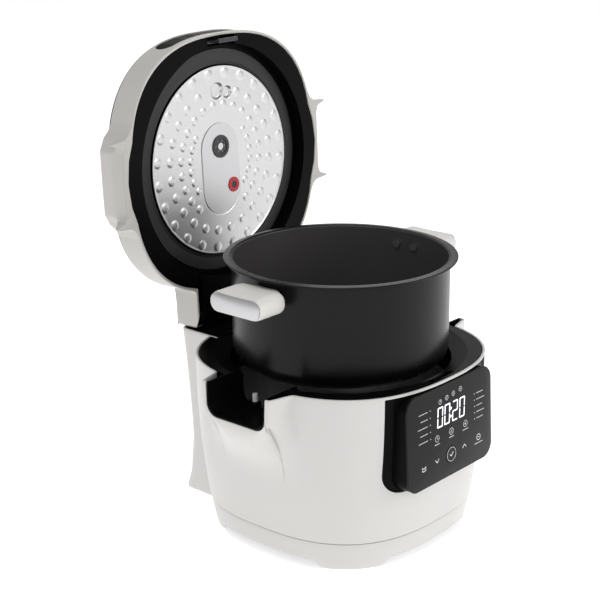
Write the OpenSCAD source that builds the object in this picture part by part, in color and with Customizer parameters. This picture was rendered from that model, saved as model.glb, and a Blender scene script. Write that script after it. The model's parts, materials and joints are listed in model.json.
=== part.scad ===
// Electric multicooker: a lidded heated base with a lift-out pot.
// The pot's axis is x = 0, the floor is z = 0 and the control panel faces -Y.

/* [Body] */
// Half width of the body at the split line
body_half = 147; // [140:1:170]
// How much narrower each side is at the floor
body_taper = 17; // [5:1:25]
// Height of the body's split line
body_h = 199; // [190:1:240]
// Squareness of the plan outline (2 is an ellipse)
body_n = 2.6; // [2.3:0.1:3.2]
// Wall of the plastic shells
wall = 3; // [2:0.2:4]
// Height of the seam between shell and skirt
seam_z = 33; // [25:1:45]
// Height of the arches between the feet
arch_h = 8.5; // [5:0.5:12]
// Half width of the arches at the floor
arch_half = 76; // [60:1:85]

/* [Rear column] */
// Half width of the rear column
column_half = 64; // [58:1:72]
// Distance of the column's waist behind the pot axis
column_y = 176; // [170:1:190]
// How far the column's top leans back past its waist
column_lean = 12; // [6:1:16]
// How far the column's foot flares back past its waist
column_flare = 13; // [5:1:18]

/* [Pot] */
// Radius of the pot's outside wall
pot_r = 118.4; // [100:0.2:125]
// Width of the rim flange
pot_flange = 8.6; // [6:0.2:10]
// Thickness of the pot's sheet
pot_wall = 1.8; // [1.2:0.1:3]
// Height of the pot from its bottom to its rim
pot_h = 118; // [90:1:140]
// Outside radius of the corner at the pot's bottom
pot_corner = 20; // [10:1:30]
// Height that the pot is lifted in the rest pose
pot_lift = 103; // [90:1:115]
// Height of the seated pot's rim above the split line
rim_rise = 6; // [5:0.5:10]

/* [Pot handles] */
// Half width of each handle
handle_half = 34.5; // [28:0.5:38]
// Height of each handle
handle_h = 22.5; // [16:0.5:26]
// Distance of the handle's outer end from the pot axis
handle_end = 167.6; // [155:0.2:180]
// Depth of the handle's top below the pot's rim
handle_drop = 8; // [6:0.5:12]

/* [Handle notches] */
// Distance of the notch's outer lip from the pot axis
notch_x = 170; // [160:1:185]
// Half width of the notch
notch_half = 39; // [33:0.5:42]
// Height of the notch's floor
notch_floor = 164; // [150:1:175]
// Wall of the notch's lining
pocket_wall = 1.7; // [1.2:0.1:2.5]

/* [Control panel] */
// Width of the glass
panel_w = 150; // [120:1:160]
// Height of the glass
panel_h = 104.5; // [80:0.5:110]
// Forward distance of the glass's middle from the pot axis
panel_y = 150.2; // [146:0.2:165]
// Angle by which the glass leans back
panel_lean = 2.6; // [0:0.1:8]
// Corner radius of the glass
panel_r = 16; // [8:1:20]
// Thickness of the glass
glass_t = 2.4; // [1.5:0.1:4]
// Width of the recess around the panel
recess_w = 176; // [150:1:190]
// Corner radius of the recess
recess_r = 25; // [10:1:35]
// Radius of the round key
key_r = 9; // [6:0.5:12]

/* [Lid] */
// Half width of the lid at its rim
lid_half = 148; // [142:1:170]
// Height of the lid's side band
band_h = 35; // [28:1:45]
// Height of the domed cover above the band
dome_h = 14; // [8:1:25]
// Gap between the closed lid and the body
lid_gap = 1; // [0.5:0.1:2]
// Radius of the inner metal plate
plate_r = 106.9; // [90:0.1:110]
// Depth of the plate above the lid's rim
plate_depth = 10.9; // [8:0.1:16]
// Distance of the hinge axis behind the pot axis
hinge_y = 171.6; // [165:0.2:185]
// Height of the hinge axis above the closed lid's rim
hinge_rise = 13.6; // [10:0.2:18]
// Opening angle of the lid
open_angle = 92.5; // [80:0.5:100]

/* [Fits] */
// Gap between parts that only stand beside each other
gap = 0.3; // [0.2:0.05:0.6]
// Radial clearance of the hinge's running fit
run_fit = 0.05; // [0.02:0.01:0.1]
// Radius of the hinge shaft
shaft_r = 4; // [3:0.1:5]
// Radius of the shanks of the self-tapping screws
screw_r = 1.75; // [1.2:0.05:2.5]

/* [Hidden] */

$fn = 64;
ring_points = 48;
tiny = 0.01;

rim_z = body_h + lid_gap;
hinge_z = rim_z + hinge_rise;
band_z = rim_z + band_h;
pot_rim_z = body_h + rim_rise;
pot_floor_z = pot_rim_z - pot_h;
rim_r = pot_r + pot_flange;
well_r = pot_r + 3.4;
frame_r = rim_r + 4.6;
groove_z = rim_z + 14.5;
plate_z = rim_z + plate_depth;
handle_top = pot_rim_z - handle_drop;
handle_z = handle_top - handle_h;
neck_half = column_half - 3;
neck_back = hinge_y + hinge_rise - 1;
barrel_r = 12.2;
barrel_half = 46;
vent_y = -16;
float_pos = [18, 31];
vent_top = band_z + dome_h + 7;
pin_pos = [-127.6, 10.9];
arm_x = 52;
arm_screws = [128, 146];
post_pos = 70;
cup_half = 24;
cup_z = [105, 165];
foot_pos = 89;
key_down = -28.3;

// The frame's origin is on the floor, midway between the panel and the open lid's back.
open_back = hinge_y + vent_top - hinge_z + (hinge_y - vent_y) * sin(open_angle - 90);
pot_y = (panel_y + panel_h / 2 * sin(panel_lean) - open_back) / 2;

white = "#e6e4df";
black = "#151517";
steel = "#b9bcc0";
copper = "#b87333";
green = "#23603a";

// ---- shapes and places ----

function half_at(z) = body_half - body_taper * pow(1 - min(z, body_h) / body_h, 2.3);

function outline(a, b, n = body_n, count = ring_points) = [for (i = [0 : count - 1])
    let (t = 360 * (i + 0.5) / count, c = cos(t), s = sin(t))
    [a * sign(c) * pow(abs(c), 2 / n), b * sign(s) * pow(abs(s), 2 / n)]];

function back_at(z) = column_y + (z < 60 ? column_flare * pow(1 - z / 60, 2)
    : column_lean * pow((z - 60) / (body_h - 60), 1.5));

// Solid through rings of points, each ring given as [z, half width, half depth].
module loft(levels, n = body_n) {
    rings = [for (l = levels) [for (p = outline(l[1], l[2], n)) [p[0], p[1], l[0]]]];
    count = ring_points;
    last = len(levels) - 1;
    polyhedron(
        points = [for (r = rings) each r],
        faces = concat(
            [[for (i = [0 : count - 1]) i]],
            [[for (i = [count - 1 : -1 : 0]) last * count + i]],
            [for (k = [0 : last - 1], i = [0 : count - 1])
                let (j = (i + 1) % count)
                each [[k * count + i, (k + 1) * count + i, (k + 1) * count + j],
                      [k * count + i, (k + 1) * count + j, k * count + j]]]));
}

// The body's outside form between two heights, grown or shrunk by a margin.
module body_form(z0, z1, grow = 0, steps = 5) {
    loft([for (i = [0 : steps]) let (z = z0 + (z1 - z0) * i / steps)
        [z, half_at(z) + grow, half_at(z) + grow]]);
}

// Box from x0 to x1, y0 to y1 and z0 to z1.
module block(x0, x1, y0, y1, z0, z1) {
    translate([x0, y0, z0]) cube([x1 - x0, y1 - y0, z1 - z0]);
}

module tube(r_out, r_in, z0, z1) {
    translate([0, 0, z0]) difference() {
        cylinder(r = r_out, h = z1 - z0);
        translate([0, 0, -1]) cylinder(r = r_in, h = z1 - z0 + 2);
    }
}

module rod_x(r, x0, x1) {
    translate([x0, 0, 0]) rotate([0, 90, 0]) cylinder(r = r, h = x1 - x0);
}

// Flat rounded rectangle made of plain shapes, so that it stays exact.
module rounded(w, h, r) {
    square([w - 2 * r, h], center = true);
    square([w, h - 2 * r], center = true);
    for (sx = [-1, 1], sy = [-1, 1])
        translate([sx * (w / 2 - r), sy * (h / 2 - r)]) circle(r = r);
}

// Rectangle with round corners at its foot only, from x = -w/2 to w/2 and y = 0 to h.
module rounded_foot(w, h, r) {
    translate([-w / 2, r]) square([w, h - r]);
    translate([-w / 2 + r, 0]) square([w - 2 * r, h]);
    for (s = [-1, 1]) translate([s * (w / 2 - r), r]) circle(r = r);
}

// Coil of round wire along +Z.
module coil(r, wire, turns, h) {
    sides = 6;
    steps = 14;
    count = steps * turns + 1;
    points = [for (i = [0 : count - 1]) let (t = 360 * i / steps, z = h * i / (count - 1))
        for (k = [0 : sides - 1]) let (a = 360 * k / sides, q = r + wire * cos(a))
            [q * cos(t), q * sin(t), z + wire * sin(a)]];
    polyhedron(points = points, faces = concat(
        [[for (k = [sides - 1 : -1 : 0]) k]],
        [[for (k = [0 : sides - 1]) (count - 1) * sides + k]],
        [for (i = [0 : count - 2], k = [0 : sides - 1]) let (m = (k + 1) % sides)
            each [[i * sides + k, (i + 1) * sides + m, (i + 1) * sides + k],
                  [i * sides + k, i * sides + m, (i + 1) * sides + m]]]));
}

module on_base() translate([0, pot_y, 0]) children();

module on_pot() translate([0, pot_y, pot_lift]) children();

module on_lid() translate([0, pot_y + hinge_y, hinge_z]) rotate([-open_angle, 0, 0])
    translate([0, -hinge_y, -hinge_z]) children();

// Puts flat shapes on the panel: x to the right, y up, z out of the glass's face.
module on_panel() translate([0, -panel_y, body_h - 4 - panel_h / 2])
    rotate([90 - panel_lean, 0, 0]) children();

module at_hinge() translate([0, hinge_y, hinge_z]) children();

// ---- body: shells ----

module ear(grow = 0) {
    lip = notch_half + 3 + grow;
    hull() {
        block(notch_x - 6, notch_x + grow, -lip, lip, notch_floor - 6 - grow, body_h);
        block(half_at(110) - 12, half_at(110) - 6, -34, 34, 110, body_h);
        block(body_half - 12, body_half - 5, -lip - 8, lip + 8, notch_floor - 6, body_h);
    }
}

module notch_cut(grow = 0, x0 = 100, x1 = 200) {
    half = notch_half + grow;
    translate([x0, 0, notch_floor - grow]) rotate([90, 0, 90])
        linear_extrude(x1 - x0) rounded_foot(2 * half, 60, 14);
}

module outer_shell() color(white) on_base() difference() {
    union() {
        body_form(seam_z, body_h);
        ear();
        mirror([1, 0, 0]) ear();
    }
    body_form(seam_z - tiny, body_h + tiny, -wall, 4);
    notch_cut(pocket_wall + gap);
    mirror([1, 0, 0]) notch_cut(pocket_wall + gap);
    recess_cut(0);
    block(-neck_half, neck_half, 100, 180, 60, body_h + 1);
}

// Opening for the control panel in the front wall.
module recess_cut(shrink) {
    z0 = body_h - panel_h - 6.5;
    translate([0, -100, z0 + shrink]) rotate([90, 0, 0]) linear_extrude(100)
        rounded_foot(recess_w - 2 * shrink, panel_h + 4 - 2 * shrink, recess_r - shrink);
}

module arch_cut() {
    for (turn = [0, 90]) rotate([0, 0, turn]) rotate([90, 0, 0])
        translate([0, 0, -250]) linear_extrude(500)
            polygon([[-arch_half, -1], [arch_half, -1], [arch_half - 12, arch_h],
                     [-arch_half + 12, arch_h]]);
}

module base_skirt() color(white) on_base() difference() {
    body_form(0.4, seam_z - 0.6, -0.6, 3);
    body_form(0.4 - tiny, seam_z, -0.6 - wall, 2);
    arch_cut();
}

module base_pan() color("#5a5b5e") on_base() difference() {
    union() {
        body_form(arch_h + 1.5, arch_h + 4, -wall - 1.2, 1);
        for (sx = [-1, 1], sy = [-1, 1]) translate([sx * foot_pos, sy * foot_pos, 2])
            cylinder(r = 11, h = arch_h + 12);
        for (sx = [-1, 1], sy = [-1, 1]) translate([sx * post_pos, sy * post_pos, arch_h + 2])
            cylinder(r = 5, h = 60 - arch_h - 2);
    }
    for (sx = [-1, 1], sy = [-1, 1]) translate([sx * foot_pos, sy * foot_pos, 1])
        cylinder(r = 10, h = 4);
    for (i = [-4 : 4]) block(-24, 24, i * 9 - 1.6, i * 9 + 1.6, arch_h, arch_h + 6);
    for (s = [-1, 1], i = [-3 : 3])
        block(s * 78 - 16, s * 78 + 16, i * 9 - 1.6, i * 9 + 1.6, arch_h, arch_h + 6);
}

module foot_pads() color("#303034") on_base()
    for (sx = [-1, 1], sy = [-1, 1]) translate([sx * foot_pos, sy * foot_pos, 0])
        cylinder(r = 10 - gap, h = 4.9);

module column_side(z0, inset) {
    levels = [for (i = [0 : 14]) z0 + (body_h - z0) * i / 14];
    polygon(concat([[110, body_h], [110, z0]], [for (z = levels) [back_at(z) - inset, z]]));
}

module column_form(z0, inset, half) {
    rotate([90, 0, 90]) translate([0, 0, -half]) linear_extrude(2 * half) column_side(z0, inset);
}

// The column behind the body, with a shelf inside that the hinge bracket stands on.
module rear_housing() color(white) on_base() difference() {
    union() {
        difference() {
            column_form(0.4, 0, column_half);
            difference() {
                column_form(0.3, wall, column_half - wall);
                block(-80, 80, 160, 200, 0, 3.4);
            }
        }
        block(1 - column_half, column_half - 1, 130, back_at(body_h - 22) - 1,
              body_h - 22, body_h - 16);
    }
    body_form(0, body_h + 1, gap);
    for (s = [-1, 1]) translate([s * 30, hinge_y, body_h - 24]) cylinder(r = screw_r, h = 10);
    inlet_y = back_at(54);
    block(-18 - gap, 18 + gap, inlet_y, 200, 39 - gap, 69 + gap);
    translate([0, 0, body_h]) block(-column_half + wall, column_half - wall, 100, 184.6, -9, 1);
    block(-cup_half - gap, cup_half + gap, 150, 200, cup_z[0] - gap, cup_z[1] + gap);
    block(-15, 15, 150, 200, 42, 66);
}

// ---- body: deck and well ----

module deck_plan(inset) {
    a = body_half - wall - inset;
    polygon(outline(a, a));
    translate([-neck_half + 3 * inset, 100]) square([2 * neck_half - 6 * inset, 83]);
}

// A flat layer of the deck with the well, its bevel and the notches cut out.
module deck_layer() difference() {
    translate([0, 0, body_h - 9]) linear_extrude(8.6) deck_plan(gap);
    for (s = [0, 1]) mirror([s, 0, 0]) notch_cut(pocket_wall + gap, well_r - 6);
    cylinder(r = well_r, h = body_h + 1);
    translate([0, 0, body_h - 6.5]) cylinder(r1 = well_r, r2 = well_r + 20, h = 7);
}

// The deck's front left, front right and rear parts.
module deck() color(black) on_base() difference() {
    deck_layer();
    block(-24 - gap, 24 + gap, -160, -100, body_h - 12, body_h + 1);
    block(-barrel_half - 1, barrel_half + 1, hinge_y - 13, hinge_y + 14, body_h - 12, body_h + 1);
}

// The plate round the latch's slot, let into the front of the deck.
module latch_plate() color(black) on_base() difference() {
    intersection() {
        deck_layer();
        block(-24, 24, -160, -100, body_h - 12, body_h + 1);
    }
    block(-20, 20, -139.4, -130, body_h - 12, body_h + 1);
}

module pin_hole() translate([pin_pos[0], pin_pos[1], notch_floor - 20]) cylinder(r = 3.1, h = 60);

// Linings of the well's top and of both handle notches, with a boss for the pin on the left.
module deck_lining() color(black) on_base() {
    difference() {
        tube(well_r + 3, well_r, notch_floor - 4, body_h - 9);
        for (s = [0, 1]) mirror([s, 0, 0]) notch_cut(0, well_r - 20);
        translate([pin_pos[0], pin_pos[1], notch_floor - 1 - gap]) cylinder(r = 7 + gap, h = 20);
        pin_hole();
    }
    for (s = [0, 1]) difference() {
        union() {
            mirror([s, 0, 0]) difference() {
                notch_cut(pocket_wall, well_r - 20, notch_x - 0.5);
                notch_cut(0, well_r - 30);
            }
            if (s == 1) translate([pin_pos[0], pin_pos[1], notch_floor - 1]) cylinder(r = 7, h = 9);
        }
        cylinder(r = well_r + 3 + gap, h = body_h);
        block(-200, 200, -60, 60, body_h - 0.4, body_h + 60);
        pin_hole();
    }
}

module latch_striker() color(steel) on_base() difference() {
    block(-19.6, 19.6, -143, -137.2, body_h - 13.4, body_h - 3);
    block(-16, 16, -141, -135, body_h - 14, body_h - 7);
    block(-30, 30, -150, -139.3, body_h - 9.2, body_h);
}

module well_liner() color(steel) on_base() tube(well_r + 1.4, well_r, 62, notch_floor - 4.3);

// The ring that the liner and the heater's feet stand on.
module liner_ring() color(steel) on_base() tube(well_r + 1.4, 84, 60, 62);

module heater_plate() color("#9c9ea2") on_base() difference() {
    union() {
        translate([0, 0, pot_floor_z - 12]) cylinder(r = 96, h = 12 - gap);
        for (a = [30, 150, 270]) rotate([0, 0, a]) translate([90, 0, 62])
            cylinder(r = 5, h = pot_floor_z - 72);
    }
    translate([0, 0, pot_floor_z - 13]) cylinder(r = 17, h = 20);
}

module heating_element() color(copper) on_base() {
    translate([0, 0, pot_floor_z - 16.4]) rotate_extrude() translate([78, 0]) circle(r = 4);
    for (s = [-1, 1]) translate([s * 14, -76, pot_floor_z - 40]) cylinder(r = 3, h = 24);
}

module thermal_fuse() color("#d8d4c8") on_base() {
    translate([0, 50, pot_floor_z - 16]) rod_x(3.4, -11, 11);
    for (s = [-1, 1]) translate([0, 50, pot_floor_z - 16]) rod_x(0.8, s * 16 - 5.1, s * 16 + 5.1);
}

module sensor_bracket() color(steel) on_base() difference() {
    union() {
        block(-30, 30, -8, 8, pot_floor_z - 32, pot_floor_z - 30.4);
        for (s = [-1, 1])
            block(s * 29.2 - 0.8, s * 29.2 + 0.8, -8, 8, pot_floor_z - 32, pot_floor_z - 12.3);
    }
    translate([0, 0, 0]) cylinder(r = 5.4, h = pot_floor_z);
}

module sensor_spring() color(steel) on_base()
    translate([0, 0, pot_floor_z - 29.4]) coil(8, 0.7, 5, 20);

module thermal_sensor() color("#a7a9ad") on_base() {
    translate([0, 0, pot_floor_z - 7.8]) cylinder(r = 15, h = 7.8 - gap);
    translate([0, 0, pot_floor_z - 36]) cylinder(r = 5, h = 29);
}

// ---- body: control panel and electronics ----

module board_stakes(r, z0, z1) {
    for (sx = [-1, 1], sy = [-1, 1]) translate([sx * 59, sy * 39, z0]) cylinder(r = r, h = z1 - z0);
}

// The recess's floor and the raised frame of the glass, with stakes that hold the board.
module panel_housing() color(black) on_base() {
    difference() {
        union() {
            intersection() {
                body_form(seam_z, body_h, -1.6, 4);
                recess_cut(gap);
            }
            on_panel() translate([0, 0, -30]) linear_extrude(30 - glass_t - 0.1)
                rounded(panel_w - 1, panel_h - 1, panel_r);
        }
        on_panel() translate([0, 0, -40]) linear_extrude(40 - glass_t - 2.2)
            rounded(panel_w - 8, panel_h - 8, panel_r - 4);
        translate([0, 0, -2]) body_form(seam_z, body_h + 4, -4.2, 4);
        translate([0, 0, body_h - 9 - gap]) linear_extrude(20) deck_plan(0);
        on_panel() translate([0, key_down, -20]) cylinder(r = key_r + 1, h = 30);
    }
    on_panel() {
        board_stakes(3, -14, -glass_t - 2);
        board_stakes(1.5, -17, -14);
    }
}

module panel_glass() color("#3c3d40") on_base() on_panel() translate([0, 0, -glass_t])
    difference() {
        linear_extrude(glass_t) rounded(panel_w, panel_h, panel_r);
        translate([0, key_down, -1]) cylinder(r = key_r + gap, h = 10);
    }

module ok_button() color("#2a2b2e") on_base() on_panel() translate([0, key_down, 0]) {
    translate([0, 0, -glass_t - 3]) cylinder(r = key_r, h = glass_t + 3.6);
    translate([0, 0, -glass_t - 7]) cylinder(r = 2, h = 5);
}

module key_switch() color("#4a4a4c") on_base() on_panel()
    translate([-6, key_down - 6, -13.8]) cube([12, 12, 3]);

module display_module() color("#0c0c0d") on_base() on_panel()
    translate([-26, 6, -13.8]) cube([52, 24, 8.6]);

module control_board() color(green) on_base() on_panel() difference() {
    translate([-64, -44, -15.6]) cube([128, 88, 1.6]);
    board_stakes(1.5, -17, -13);
}

module power_board() color(green) on_base() difference() {
    union() {
        block(-48, 48, -66, 26, 24, 25.6);
        for (x = [-42, 42], y = [-60, 20]) translate([x, y, arch_h + 4.1]) cylinder(r = 4, h = 13);
    }
    for (x = [-42, 42], y = [-60, 20]) translate([x, y, 17]) cylinder(r = screw_r, h = 20);
}

module power_components() color("#8a8c90") on_base() {
    block(-34, -16, -50, -22, 25.7, 42);
    block(-8, 18, -52, -30, 25.7, 46);
    for (x = [26, 36], y = [-40, -20]) translate([x, y, 25.7]) cylinder(r = 4.4, h = 18);
    block(-36, 30, 2, 6, 25.7, 44);
}

module power_inlet() color("#1c1c1e") on_base() {
    y1 = back_at(54) + 1;
    difference() {
        union() {
            block(-14.6, 14.6, y1 - 26, y1 - 1, 42.4, 65.6);
            block(-18, 18, y1 - 1, y1 + 0.6, 39, 69);
        }
        block(-12, 12, y1 - 18, y1 + 2, 45.5, 62.5);
    }
    for (p = [[-7, 52], [7, 52], [0, 57]])
        block(p[0] - 1, p[0] + 1, y1 - 18, y1 - 3, p[1] - 2, p[1] + 2);
}

module screw(length, head_r = 3.2, head_h = 2.2) {
    translate([0, 0, -length]) cylinder(r = screw_r, h = length);
    cylinder(r = head_r, h = head_h);
}

// Four screws hold the base pan and two hold the hinge's bracket.
module base_screws() color(steel) on_base() {
    for (x = [-42, 42], y = [-60, 20]) translate([x, y, 25.7]) screw(8);
    for (s = [-1, 1]) translate([s * 30, hinge_y, body_h - 13.9]) screw(8);
}

// ---- body: pot pin, latch and cup ----

module pin_switch() color("#333336") on_base() translate([pin_pos[0], pin_pos[1], 0])
    difference() {
        translate([-10.6, -7, notch_floor - 28]) cube([14.6, 14, 14]);
        translate([0, 0, notch_floor - 26]) cylinder(r = 3.4, h = 20);
    }

module pin_spring() color(steel) on_base()
    translate([pin_pos[0], pin_pos[1], notch_floor - 13.2]) coil(4.1, 0.4, 3, 6.6);

module handle_pin() color("#f2f2f0") on_base() translate([pin_pos[0], pin_pos[1], 0]) {
    translate([0, 0, notch_floor - 18]) cylinder(r = 2.8, h = 34.4);
    translate([0, 0, notch_floor - 6]) cylinder(r = 4.4, h = 1.4);
}

module condensate_cup() color("#26272a") on_base() difference() {
    block(-cup_half, cup_half, back_at(130) - 18, back_at(130) + 8, cup_z[0], cup_z[1]);
    block(-cup_half + 1.6, cup_half - 1.6, back_at(130) - 16.4, back_at(130) + 6.4,
          cup_z[0] + 1.6, cup_z[1] + 1);
}

// ---- hinge ----

module hinge_bracket() color(steel) on_base() difference() {
    union() {
        block(-43, 43, hinge_y - 9, hinge_y + 9, body_h - 16, body_h - 14);
        for (s = [-1, 1]) translate([s * 41.5, 0, 0]) {
            block(-1.5, 1.5, hinge_y - 9, hinge_y + 9, body_h - 16, hinge_z);
            at_hinge() rod_x(9, -1.5, 1.5);
        }
    }
    at_hinge() rod_x(shaft_r + run_fit, -60, 60);
    for (s = [-1, 1]) translate([s * 30, hinge_y, body_h - 20]) cylinder(r = screw_r + 0.1, h = 10);
}

module hinge_shaft() color("#8e9196") on_base() at_hinge() rod_x(shaft_r, -57.4, 57.4);

module hinge_clips() color(steel) on_base() at_hinge()
    for (s = [-1, 1]) translate([s * 55.6, 0, 0]) difference() {
        rod_x(6.6, -0.5, 0.5);
        rod_x(shaft_r + run_fit, -2, 2);
    }

module hinge_springs() color("#7d8085") on_base() at_hinge()
    for (s = [-1, 1]) translate([s * 25 - 11, 0, 0]) rotate([0, 90, 0]) coil(6.8, 0.9, 8, 22);

module hinge_cover() color(black) on_base() difference() {
    union() {
        at_hinge() rod_x(barrel_r, -barrel_half, barrel_half);
        block(-barrel_half, barrel_half, hinge_y - 12, hinge_y + 12, body_h - 9, hinge_z);
    }
    at_hinge() rod_x(barrel_r - 2, -barrel_half + 2, barrel_half - 2);
    block(-barrel_half + 2, barrel_half - 2, hinge_y - 10, hinge_y + 10, body_h - 20, hinge_z);
    at_hinge() rod_x(shaft_r + gap, -60, 60);
}

// ---- lid ----

// Plan of the lid without its ears: a squarish round, a bulge over each handle, a hinge neck.
module lid_plan(inset) {
    a = lid_half - inset;
    side = lid_half + 7 - inset;
    polygon(outline(a, a - 3.5));
    translate([-neck_half - 1 + inset, 100])
        square([2 * (neck_half + 1 - inset), neck_back - 100 - inset]);
    for (s = [-1, 1]) polygon(sided(s, [[a - 20, -48], [side - 10, -45], [side - 3, -25],
        [side, 0], [side - 3, 25], [side - 10, 45], [a - 20, 48]]));
}

// The ear pieces that stand out beside the pot's handles.
module lid_ears() {
    side = lid_half + 11.5;
    tip = notch_x + 1.5;
    for (s = [-1, 1]) polygon(sided(s, [[lid_half - 16, -48], [tip, -44], [tip, -41.5],
        [side + 3.5, -34], [side + 0.5, -25], [side, 0], [side + 0.5, 25], [side + 3.5, 34],
        [tip, 41.5], [tip, 44], [lid_half - 16, 48]]));
}

// The same points on the right (s = 1) or mirrored to the left (s = -1), in turning order.
function sided(s, points) = s > 0 ? points
    : [for (i = [len(points) - 1 : -1 : 0]) [-points[i][0], points[i][1]]];

// Room for the fixed hinge barrel and its stem as the lid turns round them.
module barrel_room() {
    at_hinge() rod_x(barrel_r + 1.3, -barrel_half - 1.5, barrel_half + 1.5);
    r = barrel_r + 1.3;
    block(-barrel_half - 1.5, barrel_half + 1.5, hinge_y - r, hinge_y + 30, rim_z - 10, hinge_z);
    block(-barrel_half - 1.5, barrel_half + 1.5, hinge_y, hinge_y + 30, rim_z - 10, hinge_z + r);
}

// What lies behind and below the hinge, further out than the heel of the lid may reach.
module heel_cut() difference() {
    block(-70, 70, hinge_y, hinge_y + 30, rim_z - 10, hinge_z);
    at_hinge() rod_x(hinge_rise + 0.4, -71, 71);
}

module band_cut(shrink) {
    translate([0, -100, rim_z + 8 + shrink]) rotate([90, 0, 0]) linear_extrude(100)
        translate([0, 12 - shrink]) rounded(154 - 2 * shrink, 24 - 2 * shrink, 11.9 - shrink);
}

module lid_shell() color(white) on_lid() difference() {
    translate([0, 0, rim_z]) linear_extrude(band_h - 2) {
        lid_plan(0);
        lid_ears();
    }
    translate([0, 0, rim_z - 1]) linear_extrude(band_h + 4) lid_plan(wall);
    band_cut(0);
    barrel_room();
    heel_cut();
    at_hinge() for (s = [-1, 1]) rod_x(7.2, s * 52.5 - 5, s * 52.5 + 5);
}

module lid_cover() color(black) on_lid() difference() {
    union() {
        translate([0, 0, band_z - 1.8]) linear_extrude(2.8) lid_plan(1.5);
        loft([[band_z, 138, 136], [band_z + dome_h * 0.45, 133, 131],
              [band_z + dome_h * 0.8, 116, 114], [band_z + dome_h, 70, 68]], 2.4);
    }
    loft([[band_z - 3, 134, 132], [band_z + 0.5, 133, 131],
          [band_z + dome_h * 0.6, 116, 114], [band_z + dome_h - 2.5, 66, 64]], 2.4);
    translate([0, vent_y, band_z - 5]) cylinder(r = 17, h = 40);
}

// The black underside: an outer ledge, a step for the pot's rim and a deck behind the plate.
module lid_frame() color(black) on_lid() difference() {
    union() {
        translate([0, 0, rim_z + 0.6]) linear_extrude(groove_z - rim_z + 4.5) lid_plan(wall + gap);
        translate([0, vent_y, groove_z]) cylinder(r = 20, h = 9);
    }
    translate([0, 0, rim_z - 1]) cylinder(r = frame_r, h = groove_z - rim_z + 1);
    translate([0, vent_y, groove_z - 1]) cylinder(r = 15, h = 20);
    translate([0, 0, groove_z - 1]) tube(126, 108.4, 0, 3);
    translate([float_pos[0], float_pos[1], groove_z - 1]) cylinder(r = 10, h = 20);
    block(-22, 22, -150, -129, rim_z - 1, rim_z + 16);
    block(-30.5, 30.5, -150, -131, rim_z + 11, rim_z + 30);
    block(-30.5, 30.5, -150, -127.3, rim_z + 16, rim_z + 30);
    barrel_room();
    heel_cut();
    for (s = [0, 1]) mirror([s, 0, 0]) {
        at_hinge() rod_x(10, arm_x - 5, arm_x + 6);
        block(arm_x - 2.3, arm_x + 5, 118, 175, rim_z, rim_z + 30);
        for (y = arm_screws) translate([0, y, groove_z]) rod_x(screw_r, arm_x - 6, arm_x);
    }
}

module lid_gasket() color("#232325") on_lid() rotate_extrude()
    polygon([[108.7, plate_z + 1.6], [112, groove_z - 1], [125.6, groove_z - 1],
             [125.6, groove_z + 1.7], [108.7, groove_z + 1.7]]);

module finger_cups(grow) {
    for (c = [[0, -79, 9], [16, -76, 6.5]]) translate([c[0], c[1], plate_z - 1])
        cylinder(r = c[2] + grow, h = 1 + 2.4 + grow);
}

module oval(grow, z0, z1) {
    translate([-1, 9.6, z0]) linear_extrude(z1 - z0) rounded(58 + 2 * grow, 104 + 2 * grow, 28.9);
}

module inner_plate() color("#c4c6c8") on_lid() difference() {
    union() {
        translate([0, 0, plate_z]) cylinder(r = plate_r, h = 1.2);
        finger_cups(0.9);
        oval(3, plate_z, plate_z + 2.2);
    }
    translate([0, 0, plate_z - 6]) cylinder(r = 60 + plate_r, h = 6);
    finger_cups(0);
    oval(gap, plate_z - 1, plate_z + 1);
    translate([0, vent_y, plate_z - 1]) cylinder(r = 11, h = 6);
    translate([float_pos[0], float_pos[1], plate_z - 1]) cylinder(r = 7, h = 6);
}

module valve_panel() color("#c9cbcd") on_lid() difference() {
    oval(0, plate_z - 0.6, plate_z + 0.9);
    translate([0, vent_y, plate_z - 2]) cylinder(r = 13.2, h = 6);
    translate([float_pos[0], float_pos[1], plate_z - 2]) cylinder(r = 8.8, h = 6);
}

module valve_ring() color("#3a3b3e") on_lid() translate([0, vent_y, 0]) {
    tube(13, 9.5, plate_z - 1.6, plate_z + 0.9);
    tube(10.7, 9.5, plate_z + 0.9, plate_z + 3);
    difference() {
        translate([0, 0, plate_z - 1]) cylinder(r = 9.6, h = 2);
        translate([0, 0, plate_z - 2]) cylinder(r = 4.4, h = 4);
        for (a = [0 : 60 : 300]) rotate([0, 0, a]) translate([6.8, 0, plate_z - 2])
            cylinder(r = 1.3, h = 4);
    }
}

module float_seal() color("#c8202c") on_lid() translate([float_pos[0], float_pos[1], 0]) {
    tube(8.5, 4.2, plate_z - 1.4, plate_z + 0.9);
    tube(6.7, 4.2, plate_z + 0.9, plate_z + 3);
}

module float_valve() color("#2c2d30") on_lid() translate([float_pos[0], float_pos[1], 0]) {
    translate([0, 0, plate_z - 1]) cylinder(r = 3.8, h = 18);
    translate([0, 0, plate_z + 9]) cylinder(r = 6, h = 2);
}

module vent_plunger() color(steel) on_lid() translate([0, vent_y, 0]) {
    translate([0, 0, plate_z - 0.8]) cylinder(r = 4, h = 12);
    translate([0, 0, plate_z + 5]) cylinder(r = 7, h = 3);
}

module steam_duct() color("#2a2b2d") on_lid() translate([0, vent_y, 0]) {
    tube(14.4, 12, groove_z + 1, band_z + dome_h - 1);
    tube(14.4, 11, groove_z, groove_z + 1);
}

module steam_cap() color("#1b1b1d") on_lid() translate([0, vent_y, 0]) difference() {
    union() {
        translate([0, 0, band_z + dome_h + 1]) cylinder(r = 22, h = 6);
        tube(11.6, 9.8, band_z + 2, band_z + dome_h + 2);
    }
    for (i = [-2 : 2]) block(-12, 12, i * 5 - 1, i * 5 + 1, band_z + dome_h, vent_top + 1);
}

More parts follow.
